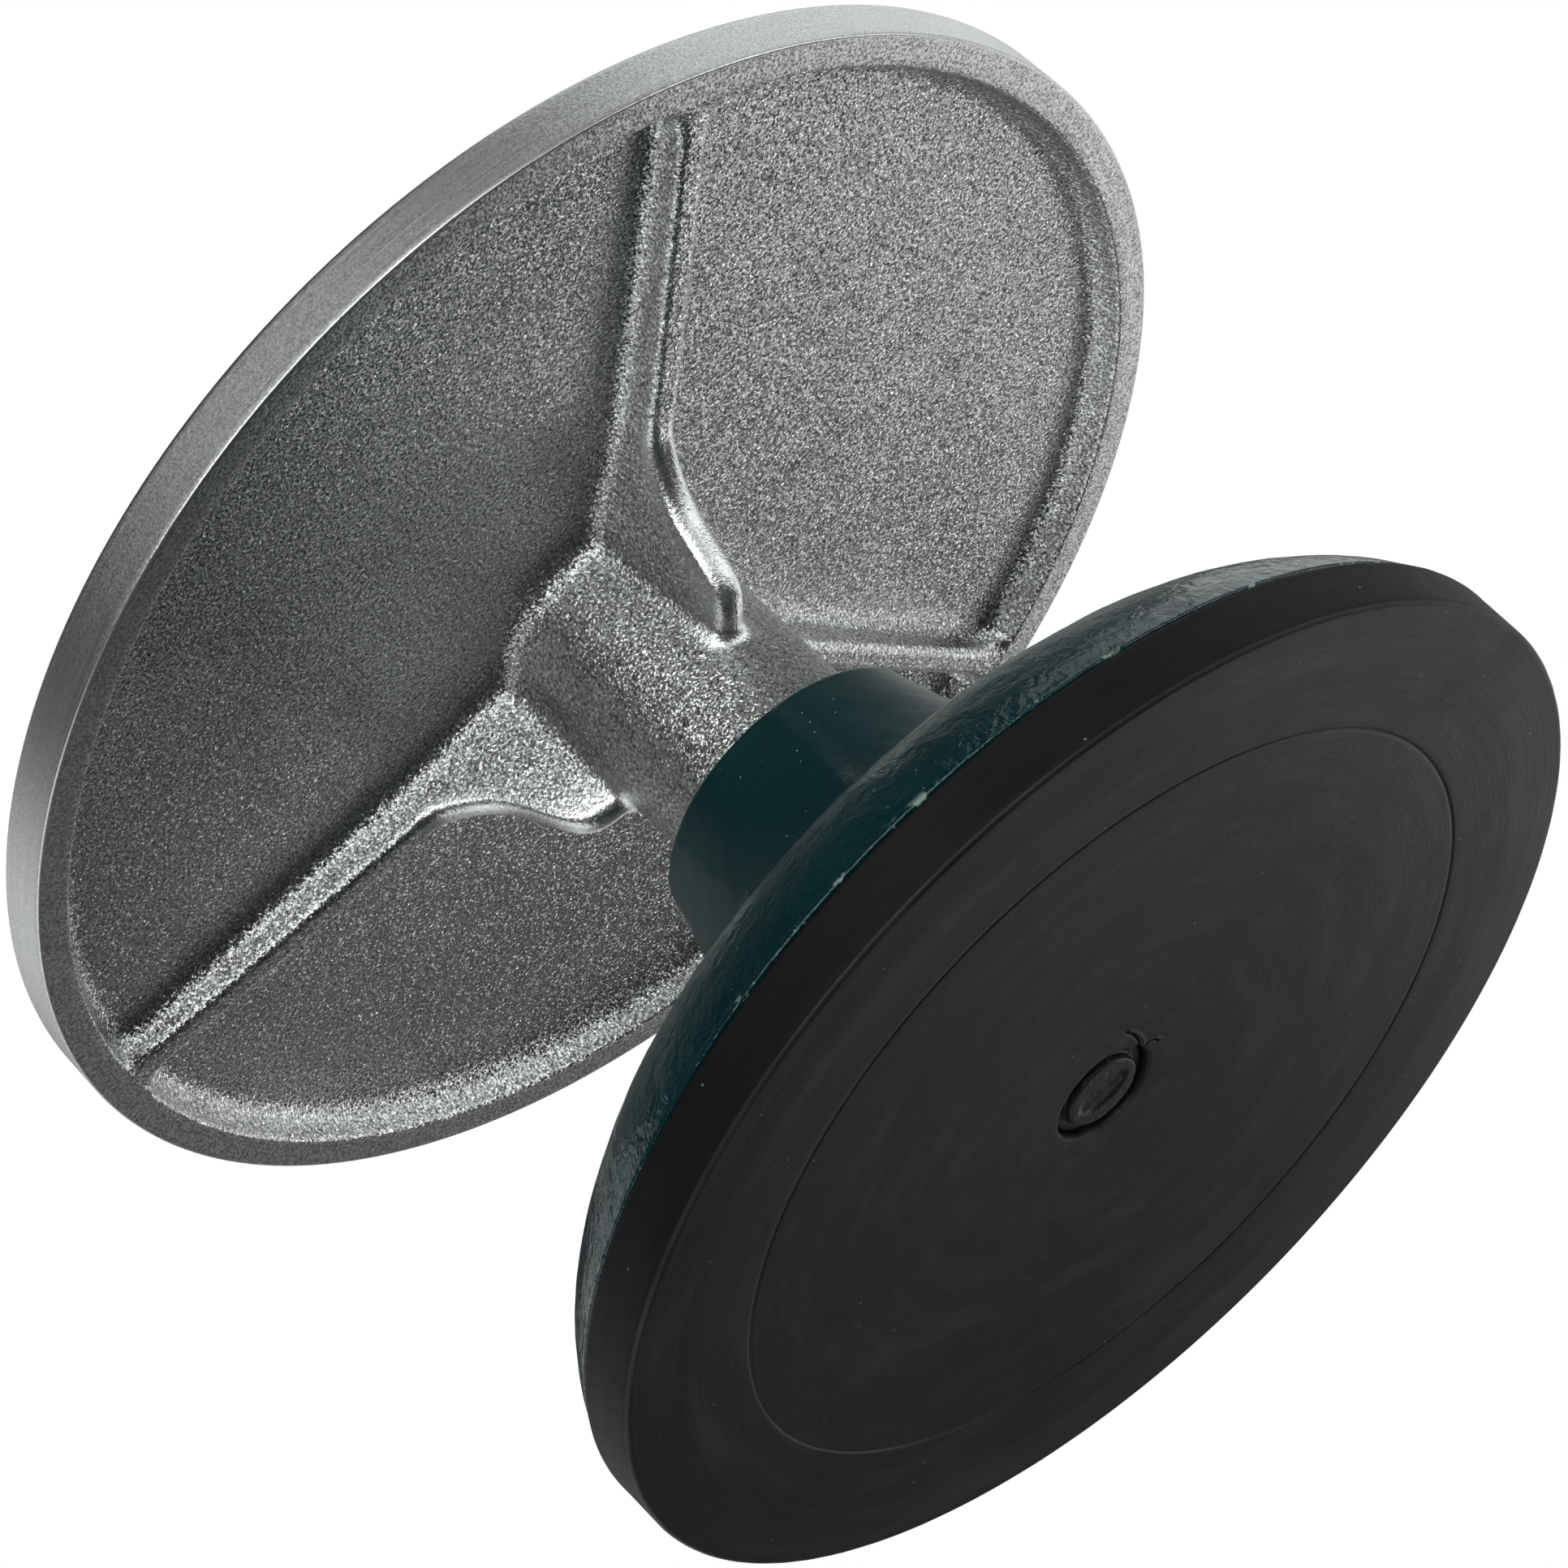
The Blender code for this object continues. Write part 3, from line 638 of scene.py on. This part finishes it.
# ------------------------------------------------------------------ iron base
def build_base():
    e = 2.0 / 1.62

    def shoulder(t):
        return (84.0 - 24.1 + 24.1 * math.cos(t) ** e, 6.1 + 22.8 * math.sin(t) ** e)

    t_lo = math.asin(((9.2 + 0.5 - 6.1) / 22.8) ** 0.81)
    t_hi = math.radians(55.0)
    bell = np.array([shoulder(t_hi + (t_lo - t_hi) * i / 26) for i in range(27)])
    lean = (bell[0] - bell[1]) / np.linalg.norm(bell[0] - bell[1])
    mid = np.array((55.0, bell[0][1] + 4.9))
    crown = bezier(mid, (mid[0] + 6.0, mid[1] - 1.5), bell[0] + 5.5 * lean, bell[0], 16)
    flare = bezier((23.3, 68.2), (28.6, 43.0), (40.0, mid[1] + 3.9), mid, 56)
    prof = join(line((18.0, 69.4), (22.2, 69.4), 4), bezier((22.2, 69.4), (22.9, 69.4), (23.2, 68.9), (23.3, 68.2), 4),
                flare, crown, bell)
    # low lip over the pad, then the hollow underside as in the solid
    lip = arc(bell[-1][0] - 0.45, 9.65, 0.45, 0, -90, 3)
    inner = np.array([(76.0, 9.2), (74.6, 12.5), (66.0, 18.0), (50.0, 24.4), (38.0, 27.0),
                      (28.0, 26.0), (21.7, 19.0), (20.5, 9.2), (7.7, 9.2), (7.7, 26.0),
                      (13.0, 26.0), (13.0, 33.0), (17.8, 33.0), (17.8, 66.85), (19.2, 66.85),
                      (19.2, 68.75), (17.8, 68.75), (17.8, 69.2)])
    outer_rows = len(join(prof, lip))
    full = join(prof, lip, inner)
    idx = [1 if (z > 69.0 and r < 22.6) or i >= outer_rows else 0
           for i, (r, z) in enumerate(full)]

    def warp(P, r, z, t):
        shell = (np.arange(len(r)) // 400) < outer_rows - 3
        d = 0.11 * fbm(P, 7.5, 21, 2) + 0.045 * fbm(P, 2.6, 33, 2)
        fade = np.clip((z - 9.6) / 1.2, 0, 1) * np.clip((69.2 - z) / 1.0, 0, 1)
        return np.where(shell, d * fade - 0.12 * fade, 0.0)

    return spin("base_enamelled", full, 400, [M_ENAMEL, M_NECK], idx, 40, closed=True,
                warp=warp, flip=True)


base = build_base()
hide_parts("base_casting")
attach(base, "base")


# ------------------------------------------------------------------ rubber pad
def build_pad():
    # underside from the hole outwards, wall, top
    dish = lambda r: np.where(r < 63.0, 2.4 + (0.5 - 2.4) * (r - 8.2) / 54.8,
                              np.where(r < 74.0, 0.5 * (74.0 - r) / 11.0, 0.0))
    rs = np.concatenate([np.arange(8.6, 14.0, 0.16), np.linspace(14.2, 62.3, 64), [62.62, 62.8, 62.9, 63.0, 63.1, 63.22, 63.5],
                         np.linspace(64.5, 82.6, 22)])
    under = np.array([(r, float(dish(r)) + (0.0, 0.05, 0.14, 0.2, 0.12, 0.03, 0.0)[
        int(np.argmin(abs(np.array([62.62, 62.8, 62.9, 63.0, 63.1, 63.22, 63.5]) - r)))]
        * (62.5 < r < 63.6)) for r in rs])
    prof = join([(8.2, 8.9), (8.2, 6.0), (8.2, 3.4), (8.2, 2.62), (8.3, 2.45)], under,
                arc(83.6 - 0.75, 0.75, 0.75, -90, -8, 6),
                line((83.62, 1.5), (83.75, 7.9), 10),
                arc(83.8 - 0.45, 8.9 - 0.45, 0.45, 0, 90, 4), [(82.0, 8.9), (60.0, 8.9), (30.0, 8.9)])
    kinds = [1 if r > 83.55 and 0.6 < z < 8.8 else 0 for r, z in prof]

    def cut(P, pts, half, depth):
        """A V-shaped cut along a short line on the underside."""
        best = np.full(len(P), 1e9)
        for (x0, y0), (x1, y1) in zip(pts, pts[1:]):
            ab = np.array([x1 - x0, y1 - y0])
            u = np.clip(((P[:, :2] - (x0, y0)) @ ab) / (ab @ ab), 0, 1)
            q = np.array([x0, y0]) + u[:, None] * ab
            best = np.minimum(best, np.hypot(*(P[:, :2] - q).T))
        return -depth * np.clip(1 - best / half, 0, 1)

    TEAR = [[(7.7, -1.5), (8.4, -3.0), (8.5, -4.6), (8.4, -6.5), (7.9, -8.4)],
            [(8.2, -1.0), (9.1, -1.1), (9.8, -0.5), (10.3, 0.6)]]

    def warp(P, r, z, t):
        d = 0.035 * fbm(P, 14.0, 51, 3)
        nick = sum(cut(P, q, 0.32, 0.6) for q in TEAR) * (z < 3.2)
        lip = sum(-cut(P - np.array([0.45, 0.3, 0.0]), q, 0.45, 0.12) for q in TEAR) * (z < 3.2)
        crown_ = np.clip((82.5 - r) / 8.0, 0, 1) * (z < 4) * (r > 9)
        edge = 0.06 * fbm(np.c_[P[:, 0], P[:, 1], P[:, 2] * 0.3], 6.0, 77, 2) * (r > 82)
        return np.where(z < 5, d * crown_ + nick + lip, 0.0) - np.abs(edge) * (z > 0.05) * (z < 8.8)

    ob = spin("foot_pad_rubber", prof, 480, [M_RUBBER, M_WALL], kinds, 35, closed=True,
              warp=warp)
    return ob


pad = build_pad()
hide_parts("foot_pad")
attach(pad, "base")


# ------------------------------------------------------------------ stud
def build_stud():
    prof = join([(r, 2.5) for r in np.linspace(0.02, 5.5, 22)],
                arc(5.62, 2.78, 0.28, -90, -8, 4), [(5.94, 3.1), (6.0, 3.45)],
                arc(6.22, 3.5, 0.2, 180, 90, 3), [(6.6, 3.69), (7.2, 3.66)],
                arc(7.5, 3.98, 0.3, -90, 0, 5),
                [(7.8, 6.0), (7.8, 8.7), (7.3, 8.7), (7.3, 18.6), (4.7, 22.0), (0.02, 22.0)])

    def warp(P, r, z, t):
        # the plug's face carries a low ridge and shallow sinks
        a = math.radians(8.0)
        u, w = P[:, 0] * math.cos(a) + P[:, 1] * math.sin(a), -P[:, 0] * math.sin(a) + P[:, 1] * math.cos(a)
        ridge = 0.20 * np.exp(-((w - 0.9) / 0.7) ** 2) * np.clip((4.6 - np.abs(u)) / 1.2, 0, 1)
        sink = -0.34 * np.clip((1.0 - (u / 4.6) ** 2 - (w / 3.0) ** 2) * 3.0, 0, 1)
        return np.where((z < 6), 0.05 * fbm(P, 1.5, 91, 2) * (r < 7.4)
                        + np.where((z < 2.7) & (r < 5.5), 0.8 * ridge + sink, 0.0), 0.0)

    return spin("pad_stud_moulded", prof, 120, [M_STUD], None, 40, warp=warp)


stud = build_stud()
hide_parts("pad_stud")
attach(stud, "base")


# ------------------------------------------------------------------ floor
def stage_floor():
    n = bpy.data.materials.new("floor_pale")
    n.use_nodes = True
    t = n.node_tree
    p = t.nodes["Principled BSDF"]
    p.inputs["Base Color"].default_value = (0.80, 0.80, 0.80, 1)
    p.inputs["Roughness"].default_value = 0.7
    p.inputs["Specular IOR Level"].default_value = 0.2
    p.inputs["Emission Color"].default_value = (1, 1, 1, 1)
    p.inputs["Emission Strength"].default_value = 0.42
    g = t.nodes.new("ShaderNodeNewGeometry")
    tr = t.nodes.new("ShaderNodeBsdfTransparent")
    mx = t.nodes.new("ShaderNodeMixShader")
    t.links.new(g.outputs["Backfacing"], mx.inputs[0])
    # far from the object the floor fades into the white room
    far = t.nodes.new("ShaderNodeVectorMath")
    far.operation = "LENGTH"
    t.links.new(t.nodes.new("ShaderNodeTexCoord").outputs["Object"], far.inputs[0])
    fade = t.nodes.new("ShaderNodeMapRange")
    fade.interpolation_type = "SMOOTHSTEP"
    fade.inputs["From Min"].default_value = 0.5
    fade.inputs["From Max"].default_value = 3.2
    t.links.new(far.outputs["Value"], fade.inputs["Value"])
    glow = t.nodes.new("ShaderNodeEmission")
    glow.inputs["Color"].default_value = (1, 1, 1, 1)
    glow.inputs["Strength"].default_value = 1.0
    blend = t.nodes.new("ShaderNodeMixShader")
    t.links.new(fade.outputs[0], blend.inputs[0])
    t.links.new(p.outputs[0], blend.inputs[1])
    t.links.new(glow.outputs[0], blend.inputs[2])
    t.links.new(blend.outputs[0], mx.inputs[1])
    t.links.new(tr.outputs[0], mx.inputs[2])
    t.links.new(mx.outputs[0], t.nodes["Material Output"].inputs["Surface"])
    s = 7.0
    me = bpy.data.meshes.new("floor")
    me.from_pydata([(-s, -s, -0.0006), (s, -s, -0.0006), (s, s, -0.0006), (-s, s, -0.0006)],
                   [], [(0, 1, 2, 3)])
    me.materials.append(n)
    ob = bpy.data.objects.new("floor", me)
    scene.collection.objects.link(ob)
    ob.visible_diffuse = ob.visible_glossy = ob.visible_transmission = False
    ob.visible_shadow = False
    return ob


floor = stage_floor()

# ------------------------------------------------------------------ light
# The studio is drawn in the world's light: soft boxes and cards by direction,
# az from +X towards +Y, el above the horizon. The camera itself sees plain white.
world = bpy.data.worlds.new("studio")
scene.world = world
world.use_nodes = True
wt = world.node_tree


def wnode(kind, *values, **props):
    n = wt.nodes.new(kind)
    for k, v in props.items():
        setattr(n, k, v)
    for i, v in enumerate(values):
        if isinstance(v, bpy.types.NodeSocket):
            wt.links.new(v, n.inputs[i])
        elif v is not None:
            n.inputs[i].default_value = v
    return n


w_dir = wt.nodes.new("ShaderNodeTexCoord").outputs["Generated"]


def w_math(op, a, b=0.0, clamp=False):
    return wnode("ShaderNodeMath", a, b, operation=op, use_clamp=clamp).outputs[0]


def w_dot(axis):
    return wnode("ShaderNodeVectorMath", w_dir, tuple(axis), operation="DOT_PRODUCT").outputs["Value"]


def box_light(az, el, half_w, half_h, edge, level, roll=0.0):
    """A soft-edged rectangular card in one direction; sizes in degrees."""
    a, b = math.radians(az), math.radians(el)
    d = np.array([math.cos(b) * math.cos(a), math.cos(b) * math.sin(a), math.sin(b)])
    u = np.array([-math.sin(a), math.cos(a), 0.0])
    v = np.cross(d, u)
    c, s_ = math.cos(math.radians(roll)), math.sin(math.radians(roll))
    u, v = c * u + s_ * v, -s_ * u + c * v
    dd = w_math("MAXIMUM", w_dot(d), 0.02)
    out = w_math("GREATER_THAN", w_dot(d), 0.03)
    for axis, half in ((u, half_w), (v, half_h)):
        q = w_math("ABSOLUTE", w_math("DIVIDE", w_dot(axis), dd))
        n = wt.nodes.new("ShaderNodeMapRange")
        n.interpolation_type = "SMOOTHSTEP"
        wt.links.new(q, n.inputs["Value"])
        n.inputs["From Min"].default_value = math.tan(math.radians(half - edge))
        n.inputs["From Max"].default_value = math.tan(math.radians(half + edge))
        n.inputs["To Min"].default_value = 1.0
        n.inputs["To Max"].default_value = 0.0
        out = w_math("MULTIPLY", out, n.outputs[0])
    return w_math("MULTIPLY", out, level)


CARDS = [
    # az, el, half width, half height, edge, level
    (22, 50, 36, 22, 3, 0.88),      # large soft box, right
    (-8, 33, 30, 14, 10, 0.15),     # its spill towards the camera
    (40, 24, 34, 12, 8, 0.26),
    (18, -14, 34, 15, 10, 1.50),    # its lower end
    (-22, -16, 17, 13, 7, 1.60),    # card low on the right, towards the camera
    (-100, 19, 36, 16, 8, 0.50),    # white card at the camera's side
    (-88, -5, 34, 15, 6, 3.50),     # box behind the camera
    (146, 46, 15, 13, 3, 0.50),     # smaller box, back left
    (150, 24, 28, 14, 10, 0.65),
    (168, -22, 26, 20, 12, 1.30),
    (104, -36, 44, 26, 14, 0.08),   # dim room behind and below
    (90, 8, 40, 14, 5, 1.10),       # strip behind
]
level = None
for card in CARDS:
    c = box_light(*card)
    level = c if level is None else w_math("ADD", level, c)
level = w_math("ADD", level, 0.035)
bg = wt.nodes["Background"]
bg.inputs["Color"].default_value = (0.975, 1.0, 0.99, 1)
wt.links.new(level, bg.inputs["Strength"])


def softbox(name, at, target, size_x, size_y, level):
    """An area light that the camera can't see; level is its radiance."""
    L = bpy.data.lights.new(name, "AREA")
    L.shape = "RECTANGLE"
    L.size, L.size_y = size_x, size_y
    L.energy = level * math.pi * size_x * size_y
    ob = bpy.data.objects.new(name, L)
    ob.location = at
    ob.rotation_mode = "QUATERNION"
    ob.rotation_quaternion = (Vector(at) - Vector(target)).to_track_quat("Z", "Y")
    ob.visible_camera = False
    scene.collection.objects.link(ob)
    return ob


# near light behind and below, on the right: it falls off to the left
softbox("under_right", (0.24, 0.46, -0.25), (0.06, 0.0, 0.08), 0.32, 0.26, 2.15)
white = wt.nodes.new("ShaderNodeBackground")
white.inputs["Color"].default_value = (1, 1, 1, 1)
white.inputs["Strength"].default_value = 1.0
lp = wt.nodes.new("ShaderNodeLightPath")
mixw = wt.nodes.new("ShaderNodeMixShader")
wt.links.new(lp.outputs["Is Camera Ray"], mixw.inputs[0])
wt.links.new(bg.outputs[0], mixw.inputs[1])
wt.links.new(white.outputs[0], mixw.inputs[2])
wt.links.new(mixw.outputs[0], wt.nodes["World Output"].inputs["Surface"])

# ------------------------------------------------------------------ camera
phi, D, roll = math.radians(24.22), 6.400 * 0.1016, math.radians(-46.17)
ox, oy, foc, cx, cy = 1374.7, 1360.5, 5882.0, 966.0, 966.0
C0 = D * np.array([0.0, -math.cos(phi), -math.sin(phi)])
fwd = -C0 / np.linalg.norm(C0)
right = np.cross(fwd, [0.0, 0.0, 1.0])
right /= np.linalg.norm(right)
up = np.cross(right, fwd)
B = np.array([math.cos(roll) * right + math.sin(roll) * up,
              -math.sin(roll) * right + math.cos(roll) * up, fwd])
d = np.array([(ox - cx) / foc, -(oy - cy) / foc, 1.0])
d /= np.linalg.norm(d)
v = np.cross(d, [0.0, 0.0, 1.0])
K = np.array([[0, -v[2], v[1]], [v[2], 0, -v[0]], [-v[1], v[0], 0]])
Rm = np.eye(3) + K + K @ K * ((1 - d[2]) / (v @ v))
ax = [sum(Rm[j, i] * B[j] for j in range(3)) for i in range(3)]
cam_data = bpy.data.cameras.new("camera")
cam_data.sensor_width = 36.0
cam_data.lens = 36.0 * foc / 1932.0
cam_data.clip_start = 0.01
cam_data.clip_end = 50.0
cam = bpy.data.objects.new("camera", cam_data)
scene.collection.objects.link(cam)
M = Matrix.Identity(4)
for i, col in enumerate((ax[0], ax[1], -ax[2], C0)):
    for j in range(3):
        M[j][i] = float(col[j])
cam.matrix_world = M
scene.camera = cam
